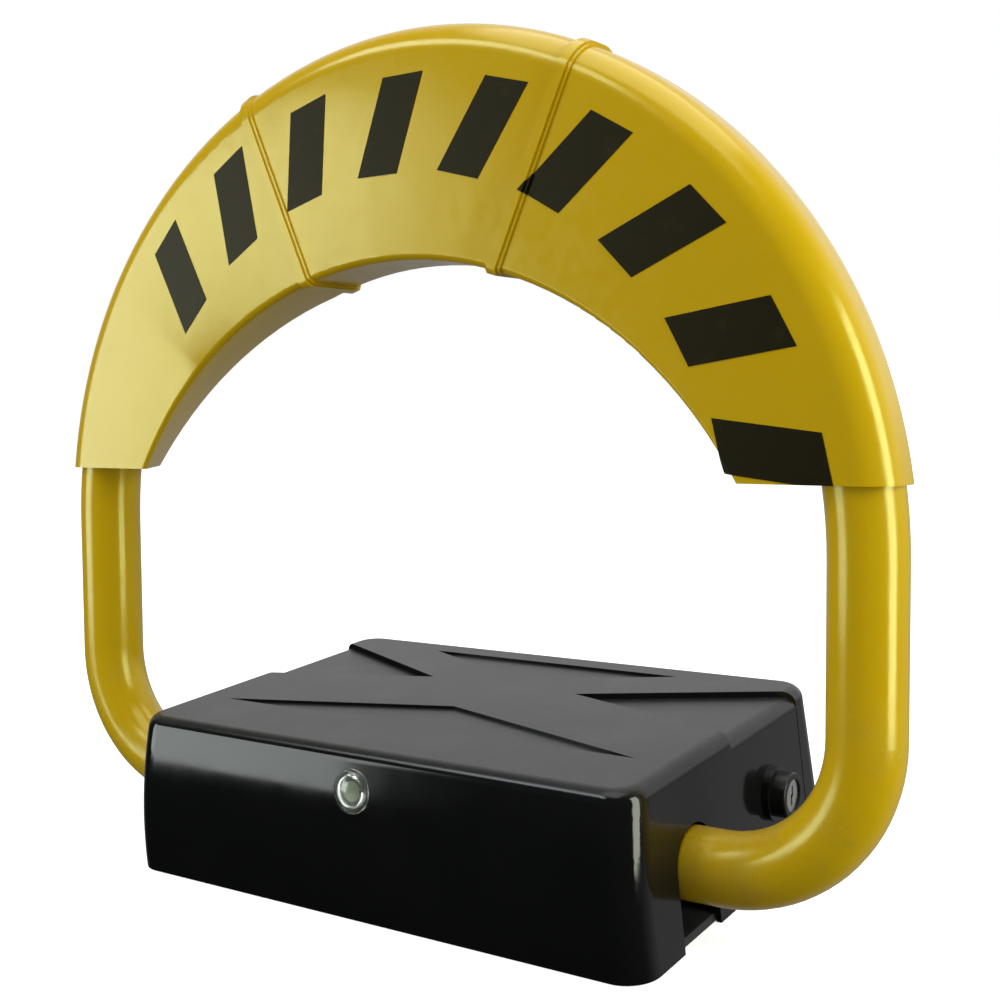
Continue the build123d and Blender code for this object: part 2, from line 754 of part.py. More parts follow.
def stop_collar():
    x = (stop_x - stop_width / 2, stop_x + stop_width / 2)
    lug = block(x, (tube_radius + 2, stop_lug_radius), (-stop_lug_half, stop_lug_half))
    collar = rod_x(stop_collar_radius, x, 0, 0) + Rot(lug_angle(), 0, 0) * lug
    collar -= rod_x(tube_radius + gear_bore_gap, (x[0] - 1, x[1] + 1), 0, 0)
    return Pos(0, pivot_y, pivot_z) * collar


def stop_points(inner, outer, shift):
    """Two (y, z) points beside the raised lug, at two distances from the pivot."""
    angle = math.radians(lug_angle())
    return [(r * math.cos(angle) - shift * math.sin(angle), r * math.sin(angle) + shift * math.cos(angle))
            for r in (inner, outer)]


def facing(points, raised):
    """Place (y, z) points at the pivot; the folded stop is the mirror image of the raised one."""
    sign = 1 if raised else -1
    return [(pivot_y + sign * y, pivot_z + z) for y, z in points]


def stop_bumper(raised):
    near = stop_lug_half + stop_gap
    inner_face = stop_points(stop_pad_inner, stop_lug_radius, near)
    outer_face = stop_points(stop_pad_inner, stop_lug_radius, near + stop_pad_thickness)
    points = inner_face + outer_face[::-1]
    return prism_x(facing(points, raised), (stop_x - stop_width / 2 + 1, stop_x + stop_width / 2 - 1))


def stop_post(raised):
    back = stop_lug_half + stop_gap + stop_pad_thickness
    seat = stop_points(stop_pad_inner, stop_lug_radius, back)
    floor = plate_thickness - pivot_z
    inner = -(stop_collar_radius + stop_post_gap)
    points = [seat[0], seat[1], (-stop_post_outset, seat[1][1] - 4), (-stop_post_outset, floor),
              (inner, floor), (inner, seat[0][1] - 5)]
    return prism_x(facing(points, raised), (stop_x - stop_width / 2, stop_x + stop_width / 2))


# ---------------------------------------------------------------- limit switches
def switch_cam():
    x = (cam_x, cam_x + cam_width)
    ring = rod_x(cam_radius, x, 0, 0)
    half = math.radians(cam_lobe_half_angle)
    wide = cam_lobe_radius * math.tan(half)
    lobe = Pos(cam_x + cam_width / 2, cam_lobe_radius / 2, 0) * Box(cam_width, cam_lobe_radius, 2 * wide)
    cam = ring + Rot(lug_angle(), 0, 0) * lobe
    cam -= rod_x(tube_radius + gear_bore_gap, (x[0] - 1, x[1] + 1), 0, 0)
    return Pos(0, pivot_y, pivot_z) * cam


def at_switch(raised):
    """A switch's own frame at the pivot: local Y points away from the bar, through the cam's lobe."""
    angle = lug_angle() if raised else lug_angle() - fold_angle
    return Pos(0, pivot_y, pivot_z) * Rot(angle, 0, 0)


def switch_sign(raised):
    """Which way along local Z the lever's hinge lies: both hinges are on the outer side."""
    return 1 if raised else -1


def lever_radius():
    return cam_lobe_radius + lever_gap


def lever_eye_y():
    """Distance of a lever's hinge from the bar's axis."""
    return lever_radius() + lever_thickness / 2


def switch_lever(raised):
    """A flat lever across the cam's path, with an eye at its hinged end."""
    hinge_z = switch_sign(raised) * lever_length / 2
    near = lever_radius()
    x = (cam_x, cam_x + lever_width)
    lever = block(x, (near, near + lever_thickness), (-lever_length / 2, lever_length / 2))
    lever += rod_x(lever_eye_radius, x, lever_eye_y(), hinge_z)
    lever -= rod_x(lever_pin_radius + 0.05, (x[0] - 1, x[1] + 1), lever_eye_y(), hinge_z)
    return at_switch(raised) * lever


def switch_body(raised):
    """A sealed switch with its plunger, and the cheek and pin that carry its lever."""
    hinge_z = switch_sign(raised) * lever_length / 2
    near = lever_radius() + lever_thickness + lever_room
    x = (switch_plate_x + switch_plate_thickness, switch_plate_x + switch_plate_thickness + switch_width)
    body = block(x, (near, near + switch_height), (-switch_length / 2, switch_length / 2))
    cheek_x = (cam_x + lever_width + 0.15, x[1])
    cheek = block(cheek_x, (lever_eye_y() - 1.5, near), (hinge_z - 1.5, hinge_z + 1.0))
    if not raised:
        cheek = block(cheek_x, (lever_eye_y() - 1.5, near), (hinge_z - 1.0, hinge_z + 1.5))
    body += cheek + rod_x(lever_pin_radius, (cam_x, cheek_x[0]), lever_eye_y(), hinge_z)
    plunger = Pos(cam_x + lever_width / 2, near, 0) * Rot(90, 0, 0) * Cylinder(0.8, 2.6)
    return at_switch(raised) * (body + plunger)


def switch_plate():
    """The upright plate that carries both switches, open below to clear the bar."""
    x = (switch_plate_x, switch_plate_x + switch_plate_thickness)
    half = cam_lobe_radius + 17
    top = pivot_z + cam_lobe_radius + 11
    plate = block(x, (pivot_y - half, pivot_y + half), (plate_thickness, top))
    clear = tube_radius + 2
    plate -= rod_x(clear, (x[0] - 1, x[1] + 1), pivot_y, pivot_z)
    plate -= block((x[0] - 1, x[1] + 1), (pivot_y - clear, pivot_y + clear), (0, pivot_z))
    return plate


# ---------------------------------------------------------------- electrics
def battery_pack():
    case = block(battery_x, battery_y, (plate_thickness, plate_thickness + battery_height))
    return fillet(case.edges().filter_by(Axis.Z), 3.0)


def battery_terminals():
    top = plate_thickness + battery_height
    tabs = []
    for y in (battery_y[0] + 14, battery_y[1] - 14):
        tabs.append(block((battery_x[1] - 12, battery_x[1] - 6), (y - 0.4, y + 0.4), (top, top + 6)))
    return Compound(children=tabs)


def battery_strap():
    """A flat steel strap over the battery, with a foot on each side."""
    inner_y = (battery_y[0] - strap_gap, battery_y[1] + strap_gap)
    outer_y = (inner_y[0] - strap_thickness, inner_y[1] + strap_thickness)
    top = plate_thickness + battery_height + strap_gap
    strap = block(strap_x, outer_y, (plate_thickness, top + strap_thickness))
    strap -= block((strap_x[0] - 1, strap_x[1] + 1), inner_y, (0, top))
    for y in ((outer_y[0] - strap_foot, outer_y[0]), (outer_y[1], outer_y[1] + strap_foot)):
        strap += block(strap_x, y, (plate_thickness, plate_thickness + strap_thickness))
    return strap


def control_box():
    z = (plate_thickness, plate_thickness + box_height)
    case = block(box_x, box_y, z)
    inner = [(low + box_wall, high - box_wall) for low, high in (box_x, box_y)]
    case -= block(inner[0], inner[1], (z[0] + box_wall, z[1] + 1))
    for x in (inner[0][0] + 5, inner[0][1] - 5):
        for y in (inner[1][0] + 5, inner[1][1] - 5):
            case += Pos(x, y, z[0] + (box_wall + board_lift) / 2) * Cylinder(3, box_wall + board_lift)
    case -= rod_x(wire_radius + 0.3, (box_x[0] - 1, box_x[0] + box_wall + 1), wire_entry_y, wire_entry_z())
    return case


def wire_entry_z():
    return plate_thickness + 26


def control_box_lid():
    z = plate_thickness + box_height
    lid = block(box_x, box_y, (z, z + box_lid))
    rim = [(low + box_wall + 0.2, high - box_wall - 0.2) for low, high in (box_x, box_y)]
    lid += block(rim[0], rim[1], (z - 2, z))
    lid -= block((rim[0][0] + 2, rim[0][1] - 2), (rim[1][0] + 2, rim[1][1] - 2), (z - 3, z))
    return fillet(lid.edges().filter_by(Axis.Z).group_by(Axis.X)[-1], 1.0)


def board_z():
    return plate_thickness + box_wall + board_lift


def control_board():
    """The printed board with its relay, controller, capacitor and terminal strip."""
    x = (box_x[0] + box_wall + 0.5, box_x[1] - box_wall - 0.5)
    y = (box_y[0] + box_wall + 0.5, box_y[1] - box_wall - 0.5)
    top = board_z() + board_thickness
    board = block(x, y, (board_z(), top))
    board += block((x[0] + 50, x[0] + 66), (y[0] + 12, y[0] + 28), (top, top + 12))
    board += block((x[0] + 74, x[0] + 90), (y[0] + 14, y[0] + 26), (top, top + 2))
    board += Pos(x[1] - 30, y[1] - 12, top + 6) * Cylinder(4, 12)
    board += block((x[0] + 12, x[0] + 20), (y[0] + 8, y[1] - 8), (top, top + 8))
    return board


def antenna():
    z = plate_thickness + box_height + box_lid
    foot = Pos(box_x[1] - 12, box_y[1] - 12, z + 2) * Cylinder(4.5, 4)
    whip = Pos(box_x[1] - 12, box_y[1] - 12, z + 4 + 12) * Cylinder(2.0, 24)
    return foot + whip


def buzzer():
    z = plate_thickness + box_height + box_lid
    body = Pos(box_x[0] + 20, box_y[1] - 18, z + 5) * Cylinder(11, 10)
    body -= Pos(box_x[0] + 20, box_y[1] - 18, z + 9) * Cylinder(1.5, 4)
    return body


def wire(points, radii):
    """A wire along straight runs joined by arcs."""
    path = FilletPolyline(*points, radius=radii)
    start = Plane(origin=path @ 0, z_dir=path % 0)
    return sweep(start * Circle(wire_radius), path=path)


def battery_wire():
    """From the battery's terminal end to the control box."""
    z = wire_entry_z()
    top = plate_thickness + battery_height
    return wire([(battery_x[1] + 0.2, wire_entry_y, top - 10), (battery_x[1] + 28, wire_entry_y, top - 10),
                 (box_x[0] - 26, wire_entry_y, z), (box_x[0] + box_wall + 4, wire_entry_y, z)], 14)


def motor_wire():
    """From the motor's end to the control box."""
    z = wire_entry_z()
    x = motor_end() - 8
    y = wire_entry_y - 8
    return wire([(motor_end() - 2.2, pinion_y(), pivot_z), (x - 12, pinion_y(), pivot_z),
                 (x - 12, y, z), (box_x[0] - 0.2, y, z)], 13)


# ---------------------------------------------------------------- lamp
def lamp_lens():
    """A clear domed lens with a flat flange."""
    base = -lamp_seat_depth
    dome_base = base + lamp_flange_thickness
    sphere_r = ((lamp_radius - 1) ** 2 + lamp_dome_height ** 2) / (2 * lamp_dome_height)
    centre = dome_base + lamp_dome_height - sphere_r
    flange = Pos(0, 0, base + lamp_flange_thickness / 2) * Cylinder(lamp_radius, lamp_flange_thickness)
    above = Pos(0, 0, dome_base + 10) * Box(60, 60, 20)
    dome = (Pos(0, 0, centre) * Sphere(sphere_r)) & above
    hollow = Pos(0, 0, centre) * Sphere(sphere_r - lamp_wall)
    inside = Pos(0, 0, base + 10) * Cylinder(lamp_barrel_radius - 1.5, 20)
    return lamp_place() * (flange + dome - (hollow & inside))


def lamp_barrel():
    top = -lamp_seat_depth
    outer = Pos(0, 0, top - lamp_barrel_length / 2) * Cylinder(lamp_barrel_radius, lamp_barrel_length)
    inner = Cylinder(lamp_barrel_radius - 1.5, 4 * lamp_barrel_length)
    return lamp_place() * (outer - inner)


def lamp_reflector():
    """A shallow dish around the light emitter."""
    top = -lamp_seat_depth - 0.4
    radius = lamp_barrel_radius - 1.5 - 0.05
    dish = Pos(0, 0, top - 2) * Cylinder(radius, 4)
    dish -= Pos(0, 0, top - 1.4) * Cone(2.6, radius - 0.8, 2.8)
    dish -= Pos(0, 0, top - 3) * Cylinder(2.6, 4)
    return lamp_place() * dish


def lamp_board():
    top = -lamp_seat_depth - 4.4
    radius = lamp_barrel_radius - 1.5 - 0.05
    disc = Pos(0, 0, top - 0.8) * Cylinder(radius, 1.6)
    emitter = Pos(0, 0, top + 0.9) * Cylinder(2.2, 1.8)
    return lamp_place() * (disc + emitter)


def lamp_nut():
    thickness = 4.0
    back = -cover_wall - 0.9
    nut = Pos(0, 0, back - thickness) * extrude(RegularPolygon(14.5, 6), thickness)
    return lamp_place() * (nut - Cylinder(lamp_barrel_radius + 0.03, 60))


# ---------------------------------------------------------------- key lock
def lock_front():
    """Front end of the lock's bezel, from the middle of the base."""
    return lock_boss_face + lock_bezel_length


def lock_body():
    bezel = rod_x(lock_bezel_radius, (lock_boss_face, lock_front()), lock_y, lock_z)
    bezel = fillet(bezel.edges().sort_by(Axis.X)[-1], 1.2)
    barrel = rod_x(lock_thread_radius, (lock_body_end, lock_boss_face), lock_y, lock_z)
    body = bezel + barrel
    mouth = lock_front() - lock_plug_depth - lock_plug_recess
    body -= rod_x(lock_plug_radius + lock_running_gap, (mouth, lock_front() + 1), lock_y, lock_z)
    return body - rod_x(lock_core_radius + lock_running_gap, (lock_body_end - 1, mouth + 1), lock_y, lock_z)


def lock_plug():
    """The turning plug, with a stepped key slot in its face."""
    face = lock_front() - lock_plug_recess
    disc = rod_x(lock_plug_radius, (face - lock_plug_depth + 0.1, face), 0, 0)
    core = rod_x(lock_core_radius, (lock_body_end - 0.2, face - lock_plug_depth + 0.1), 0, 0)
    plug = disc + core
    depth = (face - key_slot_depth, face + 1)
    half = key_slot_length / 2
    for sign in (-1, 1):
        near = sorted((0, sign * half))
        shift = sign * key_slot_step / 2
        plug -= block(depth, (shift - key_slot_width / 2, shift + key_slot_width / 2), near)
    plug -= block(depth, (-key_slot_step, key_slot_step), (-key_slot_width / 2, key_slot_width / 2))
    return Pos(0, lock_y, lock_z) * plug


def lock_nut():
    x = (lock_boss_back - lock_nut_thickness, lock_boss_back)
    nut = Pos(x[0], lock_y, lock_z) * extrude(Plane.YZ * RegularPolygon(15, 6), lock_nut_thickness)
    return nut - rod_x(lock_thread_radius + 0.03, (x[0] - 1, x[1] + 1), lock_y, lock_z)


def lock_cam():
    """The cam on the plug's inner end; it points to the rear when locked."""
    x = (lock_body_end - 0.2 - lock_cam_thickness, lock_body_end - 0.2)
    bar = block(x, (0, lock_cam_length - lock_cam_half_width), (-lock_cam_half_width, lock_cam_half_width))
    cam = bar + rod_x(9, x, 0, 0)
    cam += rod_x(lock_cam_half_width, x, lock_cam_length - lock_cam_half_width, 0)
    cam -= rod_x(2.5, (x[0] - 1, x[1] + 1), 0, 0)
    return Pos(0, lock_y, lock_z) * cam


def lock_cam_screw():
    back = lock_body_end - 0.2 - lock_cam_thickness
    head = rod_x(4.2, (back - 3, back), lock_y, lock_z)
    return head + rod_x(2.45, (back, back + lock_cam_thickness - 0.1), lock_y, lock_z)


def lock_keeper():
    """A bracket on the base plate whose lip holds the cam down."""
    y = lock_y + lock_cam_length + 3
    x = (lock_body_end - lock_cam_thickness - 4, lock_body_end + 4)
    lip_z = lock_z + lock_cam_half_width + keeper_gap
    top = lip_z + keeper_thickness
    post = block(x, (y, y + keeper_thickness), (plate_thickness, top))
    lip = block(x, (y - keeper_lip, y), (lip_z, top))
    foot = block(x, (y, y + keeper_foot), (plate_thickness, plate_thickness + keeper_thickness))
    return post + lip + foot


# ---------------------------------------------------------------- write every node
def nodes():
    return {
        "base_plate": base_plate(),
        "top_cover": top_cover(),
        "cover_brackets": cover_brackets(),
        "cover_screws": cover_screws(),
        "hoop_lower_tube": hoop_lower_tube(),
        "hoop_arch_tube": hoop_arch_tube(),
        "hoop_sleeves": hoop_sleeves(),
        "head_front_shell": head_front_shell(),
        "head_rear_shell": head_rear_shell(),
        "head_spacers": head_spacers(),
        "head_screws": head_screws(),
        "hazard_marks": hazard_marks(),
        "left_bearing_pedestal": bearing_pedestal(-1),
        "right_bearing_pedestal": bearing_pedestal(1),
        "left_bearing_cap": bearing_cap(-1),
        "right_bearing_cap": bearing_cap(1),
        "left_bearing_bush": bearing_bush(-1),
        "right_bearing_bush": bearing_bush(1),
        "bearing_screws": bearing_screws(),
        "output_gear": output_gear(),
        "gear_key_pin": gear_key_pin(),
        "drive_pinion": drive_pinion(),
        "motor_bracket": motor_bracket(),
        "gearhead": gearhead(),
        "gearhead_screws": gearhead_screws(),
        "motor_can": motor_can(),
        "motor_end_cap": motor_end_cap(),
        "motor_terminals": motor_terminals(),
        "stop_collar": stop_collar(),
        "raised_stop_post": stop_post(True),
        "folded_stop_post": stop_post(False),
        "raised_stop_bumper": stop_bumper(True),
        "folded_stop_bumper": stop_bumper(False),
        "switch_cam": switch_cam(),
        "switch_plate": switch_plate(),
        "raised_switch_body": switch_body(True),
        "folded_switch_body": switch_body(False),
        "raised_switch_lever": switch_lever(True),
        "folded_switch_lever": switch_lever(False),
        "battery_pack": battery_pack(),
        "battery_terminals": battery_terminals(),
        "battery_strap": battery_strap(),
        "control_box": control_box(),
        "control_box_lid": control_box_lid(),
        "control_board": control_board(),
        "antenna": antenna(),
        "buzzer": buzzer(),
        "battery_wire": battery_wire(),
        "motor_wire": motor_wire(),
        "lamp_lens": lamp_lens(),
        "lamp_barrel": lamp_barrel(),
        "lamp_reflector": lamp_reflector(),
        "lamp_board": lamp_board(),
        "lamp_nut": lamp_nut(),
        "lock_body": lock_body(),
        "lock_plug": lock_plug(),
        "lock_nut": lock_nut(),
        "lock_cam": lock_cam(),
        "lock_cam_screw": lock_cam_screw(),
        "lock_keeper": lock_keeper(),
    }


os.makedirs("parts", exist_ok=True)
for name, shape in nodes().items():
    export_step(shape, f"parts/{name}.step")
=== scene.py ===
import json
import math

import bmesh
import bpy
from mathutils import Matrix, Vector


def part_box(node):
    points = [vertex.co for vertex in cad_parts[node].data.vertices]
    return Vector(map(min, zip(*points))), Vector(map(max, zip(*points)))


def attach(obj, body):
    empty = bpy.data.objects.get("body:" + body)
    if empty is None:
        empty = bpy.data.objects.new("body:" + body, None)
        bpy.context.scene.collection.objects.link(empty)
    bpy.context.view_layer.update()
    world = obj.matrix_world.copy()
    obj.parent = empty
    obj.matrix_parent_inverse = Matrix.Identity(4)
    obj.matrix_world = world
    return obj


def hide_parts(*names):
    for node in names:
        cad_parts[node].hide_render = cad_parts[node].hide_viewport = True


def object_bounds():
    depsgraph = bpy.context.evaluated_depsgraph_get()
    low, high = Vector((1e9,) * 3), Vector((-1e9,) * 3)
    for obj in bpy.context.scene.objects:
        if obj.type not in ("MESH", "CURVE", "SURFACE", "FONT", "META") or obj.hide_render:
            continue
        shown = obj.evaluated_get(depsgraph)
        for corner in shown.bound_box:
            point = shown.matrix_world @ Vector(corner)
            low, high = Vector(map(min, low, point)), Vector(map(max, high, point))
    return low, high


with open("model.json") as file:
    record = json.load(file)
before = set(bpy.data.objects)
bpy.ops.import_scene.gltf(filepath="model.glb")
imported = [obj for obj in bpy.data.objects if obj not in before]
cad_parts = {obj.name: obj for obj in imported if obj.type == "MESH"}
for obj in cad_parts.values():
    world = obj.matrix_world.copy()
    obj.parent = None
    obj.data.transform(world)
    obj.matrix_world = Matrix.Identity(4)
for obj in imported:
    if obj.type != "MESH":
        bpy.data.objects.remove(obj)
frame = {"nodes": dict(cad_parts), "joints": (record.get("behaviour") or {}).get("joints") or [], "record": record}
cad_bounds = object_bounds()

# Looks of a folding parking lock: a black base with a lamp and a key lock, and a yellow hoop with a
# crescent head. All lengths are in metres, in the part's own frame: X along the hinge, Y to the rear, Z up.
MM = 0.001
MICRON = 0.001 * MM
nodes = frame["nodes"]
joints = {joint["name"]: joint for joint in frame["joints"]}


# ---------------------------------------------------------------- node helpers
def set_inputs(node, values):
    """Set a node's sockets by name, with underscores for spaces."""
    for name, value in values.items():
        node.inputs[name.replace("_", " ")].default_value = value


class Shader:
    """A material with a Principled shader and short ways to wire detail into it.

    Colours are linear red, green and blue. A texture's scale is in repeats per metre.
    """

    def __init__(self, name):
        self.material = bpy.data.materials.new(name)
        self.material.use_nodes = True
        self.tree = self.material.node_tree
        self.tree.nodes.clear()
        output = self.add("ShaderNodeOutputMaterial")
        self.principled = self.add("ShaderNodeBsdfPrincipled")
        self.link(self.principled.outputs["BSDF"], output.inputs["Surface"])
        self.coordinates = self.add("ShaderNodeTexCoord")

    def add(self, kind, **values):
        node = self.tree.nodes.new(kind)
        for key, value in values.items():
            setattr(node, key, value)
        return node

    def link(self, source, target):
        self.tree.links.new(source, target)

    def set(self, **values):
        """Set the Principled shader's own sockets."""
        set_inputs(self.principled, values)
        return self

    def stretched(self, scale):
        """Object coordinates, scaled apart on each axis."""
        mapping = self.add("ShaderNodeMapping")
        mapping.inputs["Scale"].default_value = scale
        self.link(self.coordinates.outputs["Object"], mapping.inputs["Vector"])
        return mapping.outputs["Vector"]

    def texture(self, kind, output, vector=None, **values):
        """A texture in object coordinates, or in those given."""
        node = self.add(kind)
        set_inputs(node, values)
        self.link(vector or self.coordinates.outputs["Object"], node.inputs["Vector"])
        return node.outputs[output]

    def noise(self, scale, detail=4.0, roughness=0.55, vector=None):
        return self.texture("ShaderNodeTexNoise", "Fac", vector,
                            Scale=scale, Detail=detail, Roughness=roughness)

    def cells(self, scale):
        return self.texture("ShaderNodeTexVoronoi", "Distance", Scale=scale)

    def spread(self, source, low, high, start=0.0, end=1.0):
        """Map a value from start..end to low..high, and no further."""
        node = self.add("ShaderNodeMapRange")
        set_inputs(node, {"From Min": start, "From Max": end, "To Min": low, "To Max": high})
        self.link(source, node.inputs["Value"])
        return node.outputs["Result"]

    def share_of_z(self, output, start, end):
        """0 to 1 as the Z of a coordinate goes from start to end."""
        split = self.add("ShaderNodeSeparateXYZ")
        self.link(self.coordinates.outputs[output], split.inputs["Vector"])
        return self.spread(split.outputs["Z"], 0.0, 1.0, start, end)

    def combine(self, operation, first, second):
        """A sum or a product of two values, held within 0 to 1."""
        node = self.add("ShaderNodeMath", operation=operation, use_clamp=True)
        self.link(first, node.inputs[0])
        self.link(second, node.inputs[1])
        return node.outputs["Value"]

    def mix(self, factor, first, second, data_type="RGBA"):
        """Go from the first to the second by a factor. Each is a socket, or a constant colour."""
        node = self.add("ShaderNodeMix", data_type=data_type)
        for name, side in (("A", first), ("B", second)):
            if isinstance(side, tuple):
                node.inputs[name].default_value = (*side, 1.0)
            else:
                self.link(side, node.inputs[name])
        self.link(factor, node.inputs["Factor"])
        return node.outputs["Result"]

    def colour(self, source):
        self.link(source, self.principled.inputs["Base Color"])
        return self

    def rough(self, source):
        self.link(source, self.principled.inputs["Roughness"])
        return self

    def bump(self, *layers):
        """Stack bumps, each given as (source, depth in metres)."""
        normal = None
        for source, depth in layers:
            node = self.add("ShaderNodeBump")
            set_inputs(node, {"Distance": depth, "Strength": 1.0})
            self.link(source, node.inputs["Height"])
            if normal:
                self.link(normal, node.inputs["Normal"])
            normal = node.outputs["Normal"]
        self.link(normal, self.principled.inputs["Normal"])
        return self


# ---------------------------------------------------------------- materials
def yellow_paint():
    """Glossy enamel with orange peel and faint darker specks, and road dust low on the hoop."""
    s = Shader("yellow_paint")
    specks = s.noise(160.0, detail=3.0)
    peel = s.noise(420.0, detail=2.0)
    waves = s.noise(26.0, detail=2.0)
    patches = s.spread(s.noise(38.0, detail=5.0), 0.0, 1.0, start=0.46, end=0.72)
    dust = s.combine("MULTIPLY", s.share_of_z("Object", 160 * MM, 20 * MM), patches)
    paint = s.mix(s.noise(9.0, detail=3.0), (0.58, 0.355, 0.002), (0.65, 0.415, 0.003))
    speck_strength = s.spread(specks, 0.0, 0.05, start=0.55, end=0.9)
    speckled = s.mix(speck_strength, paint, (0.52, 0.26, 0.003))
    s.colour(s.mix(s.spread(dust, 0.0, 0.35), speckled, (0.30, 0.22, 0.05)))
    s.rough(s.spread(s.combine("ADD", specks, dust), 0.15, 0.34, start=0.2, end=1.1))
    s.bump((peel, 12 * MICRON), (waves, 300 * MICRON))
    s.set(Specular_Tint=(0.92, 1.0, 0.42, 1.0), Specular_IOR_Level=0.72)
    return s.set(Coat_Weight=0.12, Coat_Roughness=0.12).material


def mark_film():
    """Black film of the marks, worn through in small patches."""
    s = Shader("mark_film")
    grain = s.noise(700.0, detail=2.0)
    wear = s.spread(s.noise(60.0, detail=5.0), 0.0, 0.5, start=0.60, end=0.75)
    film = s.mix(grain, (0.008, 0.006, 0.002), (0.013, 0.010, 0.003))
    s.colour(s.mix(wear, film, (0.03, 0.022, 0.006)))
    s.rough(s.spread(grain, 0.38, 0.52))
    s.bump((grain, 10 * MICRON))
    return s.set(Specular_IOR_Level=0.2, Specular_Tint=(1.0, 0.9, 0.5, 1.0)).material


def cover_plastic():
    """Black moulded cover: glossy walls, and a lid with a matte grain and a little dust."""
    s = Shader("cover_plastic")
    lid = s.share_of_z("Normal", 0.55, 0.93)
    grain = s.noise(1500.0, detail=2.0)
    smears = s.noise(22.0, detail=5.0)
    scuffs = s.noise(70.0, detail=6.0, roughness=0.7)
    waves = s.noise(14.0, detail=2.0)
    gloss = s.spread(smears, 0.07, 0.13, start=0.3, end=0.7)
    matte = s.spread(s.combine("ADD", grain, smears), 0.30, 0.42, start=0.5, end=1.3)
    s.rough(s.mix(lid, gloss, matte, data_type="FLOAT"))
    dust = s.combine("MULTIPLY", lid, s.spread(scuffs, 0.15, 0.4, start=0.4, end=0.75))
    plastic = s.mix(smears, (0.0045, 0.0048, 0.0052), (0.007, 0.007, 0.0075))
    s.colour(s.mix(dust, plastic, (0.045, 0.045, 0.044)))
    s.bump((s.combine("MULTIPLY", grain, lid), 50 * MICRON), (waves, 300 * MICRON))
    return s.set(Specular_IOR_Level=0.4).material


def coated_steel():
    """Base plate: black powder coat."""
    s = Shader("coated_steel")
    grain = s.noise(600.0, detail=3.0)
    s.colour(s.mix(s.noise(30.0), (0.020, 0.021, 0.022), (0.045, 0.046, 0.047)))
    s.rough(s.spread(grain, 0.38, 0.6))
    return s.bump((grain, 40 * MICRON)).set(Specular_IOR_Level=0.4).material


def zinc():
    """Zinc plating with small crystal flakes."""
    s = Shader("zinc")
    flakes = s.cells(900.0)
    s.colour(s.mix(flakes, (0.62, 0.61, 0.56), (0.44, 0.45, 0.44)))
    s.rough(s.spread(s.noise(300.0), 0.22, 0.42))
    return s.bump((flakes, 10 * MICRON)).set(Metallic=1.0).material


def cast_iron():
    """Rough grey casting."""
    s = Shader("cast_iron")
    grain = s.noise(520.0, detail=6.0, roughness=0.7)
    s.colour(s.mix(s.noise(45.0, detail=6.0), (0.07, 0.068, 0.064), (0.15, 0.145, 0.138)))
    s.rough(s.spread(grain, 0.5, 0.8))
    return s.bump((grain, 250 * MICRON), (s.cells(260.0), 100 * MICRON)).set(Metallic=0.6).material


def nylon():
    """Cream nylon that lets a little light in."""
    s = Shader("nylon")
    s.colour(s.mix(s.noise(40.0), (0.74, 0.71, 0.62), (0.82, 0.80, 0.72)))
    s.rough(s.spread(s.noise(400.0), 0.36, 0.5))
    s.bump((s.noise(500.0), 20 * MICRON))
    return s.set(Subsurface_Weight=0.15, Subsurface_Scale=3 * MM).material


def turned_steel(name, colour):
    """Machined steel: fine grooves round the bar's axis, with an oil film."""
    s = Shader(name)
    grooves = s.noise(60.0, roughness=0.6, vector=s.stretched((40.0, 0.6, 0.6)))
    film = s.noise(35.0, detail=5.0)
    darker = tuple(0.6 * part for part in colour)
    s.colour(s.mix(s.combine("MULTIPLY", grooves, film), darker, colour))
    s.rough(s.spread(s.combine("ADD", grooves, film), 0.20, 0.46, start=0.6, end=1.5))
    return s.bump((grooves, 30 * MICRON)).set(Metallic=1.0).material


def moulded(name, dark, light, low=0.35, high=0.55):
    """Moulded plastic with a fine eroded texture, its roughness between low and high."""
    s = Shader(name)
    s.colour(s.mix(s.noise(28.0, detail=5.0), dark, light))
    s.rough(s.spread(s.noise(240.0), low, high))
    s.bump((s.cells(1300.0), 30 * MICRON), (s.noise(60.0), 60 * MICRON))
    return s.set(Specular_IOR_Level=0.4).material


def rubber():
    s = Shader("rubber")
    s.colour(s.mix(s.noise(200.0, detail=6.0), (0.012, 0.012, 0.012), (0.032, 0.031, 0.030)))
    s.rough(s.spread(s.noise(90.0), 0.6, 0.85))
    return s.bump((s.noise(900.0), 60 * MICRON)).set(Specular_IOR_Level=0.3).material


def brass():
    s = Shader("brass")
    s.colour(s.mix(s.noise(120.0, detail=5.0), (0.62, 0.42, 0.15), (0.78, 0.60, 0.28)))
    s.rough(s.spread(s.noise(500.0), 0.2, 0.4))
    return s.bump((s.noise(700.0), 10 * MICRON)).set(Metallic=1.0).material


def circuit_board():
    """Green board under solder resist, with a pattern of tracks."""
    s = Shader("circuit_board")
    tracks = s.texture("ShaderNodeTexBrick", "Fac", Scale=120.0, Mortar_Size=0.012)
    s.colour(s.mix(tracks, (0.010, 0.10, 0.045), (0.09, 0.26, 0.11)))
    s.rough(s.spread(s.noise(300.0), 0.28, 0.45))
    return s.bump((tracks, 30 * MICRON)).material


def wire_skin():
    """Red insulation."""
    s = Shader("wire_skin")
    s.colour(s.mix(s.noise(50.0), (0.32, 0.012, 0.010), (0.48, 0.028, 0.020)))
    s.rough(s.spread(s.noise(400.0), 0.32, 0.5))
    return s.bump((s.noise(800.0), 20 * MICRON)).material


